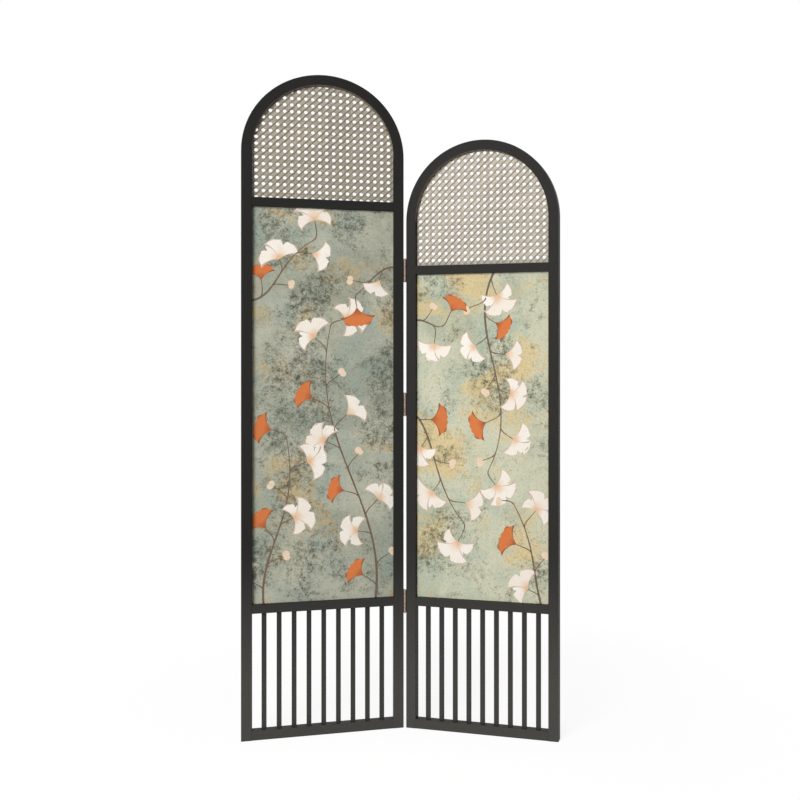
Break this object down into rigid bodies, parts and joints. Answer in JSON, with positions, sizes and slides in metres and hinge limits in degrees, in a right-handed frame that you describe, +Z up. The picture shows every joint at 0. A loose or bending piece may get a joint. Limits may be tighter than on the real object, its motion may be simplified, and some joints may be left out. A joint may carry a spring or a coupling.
{
  "type": "folding screen",
  "caption": "Free-standing folding screen of arched hinged panels, with open cane at the top, printed boards in the middle and upright slats at the foot.",
  "frame": {"origin": "on the floor, under the middle of the screen's box at rest", "axes": "+Z up, the front (the hollow side of the V) faces -Y, +X to the viewer's right"},
  "size_m": [0.9556, 0.1414, 2],
  "materials": {
    "black_paint": "hardwood with satin charcoal-black paint",
    "cane": "natural open cane webbing, greyish straw",
    "printed_board": "hardboard with a matt printed canvas face in mottled grey-green and ochre",
    "bronze": "antique bronze, satin",
    "beech": "raw beech dowel"
  },
  "bodies": {
    "tall_panel": {"hinge_lower_pin": "bronze", "hinge_lower_tall_leaf": "bronze", "hinge_middle_pin": "bronze", "hinge_middle_tall_leaf": "bronze", "hinge_upper_pin": "bronze", "hinge_upper_tall_leaf": "bronze", "tall_arch_dowels": "beech", "tall_arch_head": "black_paint", "tall_art_bead_bottom": "black_paint", "tall_art_bead_left": "black_paint", "tall_art_bead_right": "black_paint", "tall_art_bead_top": "black_paint", "tall_art_board": "printed_board", "tall_bottom_rail": "black_paint", "tall_cane_arch_bead": "black_paint", "tall_cane_bottom_bead": "black_paint", "tall_cane_webbing": "cane", "tall_free_stile": "black_paint", "tall_hinge_screws": "bronze", "tall_hinge_stile": "black_paint", "tall_lower_rail": "black_paint", "tall_slat_1": "black_paint", "tall_slat_2": "black_paint", "tall_slat_3": "black_paint", "tall_slat_4": "black_paint", "tall_slat_5": "black_paint", "tall_slat_6": "black_paint", "tall_slat_7": "black_paint", "tall_slat_8": "black_paint", "tall_slat_9": "black_paint", "tall_upper_rail": "black_paint"},
    "short_panel": {"hinge_lower_short_leaf": "bronze", "hinge_middle_short_leaf": "bronze", "hinge_upper_short_leaf": "bronze", "short_arch_dowels": "beech", "short_arch_head": "black_paint", "short_art_bead_bottom": "black_paint", "short_art_bead_left": "black_paint", "short_art_bead_right": "black_paint", "short_art_bead_top": "black_paint", "short_art_board": "printed_board", "short_bottom_rail": "black_paint", "short_cane_arch_bead": "black_paint", "short_cane_bottom_bead": "black_paint", "short_cane_webbing": "cane", "short_free_stile": "black_paint", "short_hinge_screws": "bronze", "short_hinge_stile": "black_paint", "short_lower_rail": "black_paint", "short_slat_1": "black_paint", "short_slat_2": "black_paint", "short_slat_3": "black_paint", "short_slat_4": "black_paint", "short_slat_5": "black_paint", "short_slat_6": "black_paint", "short_slat_7": "black_paint", "short_slat_8": "black_paint", "short_slat_9": "black_paint", "short_upper_rail": "black_paint"}
  },
  "joints": [
    {"name": "panel_fold", "type": "hinge", "parent": "tall_panel", "child": "short_panel", "pos_m": [0.00031, 0.04453, 1], "axis": [0, 0, -1], "range_deg": [-32.1, 152.4]}
  ]
}
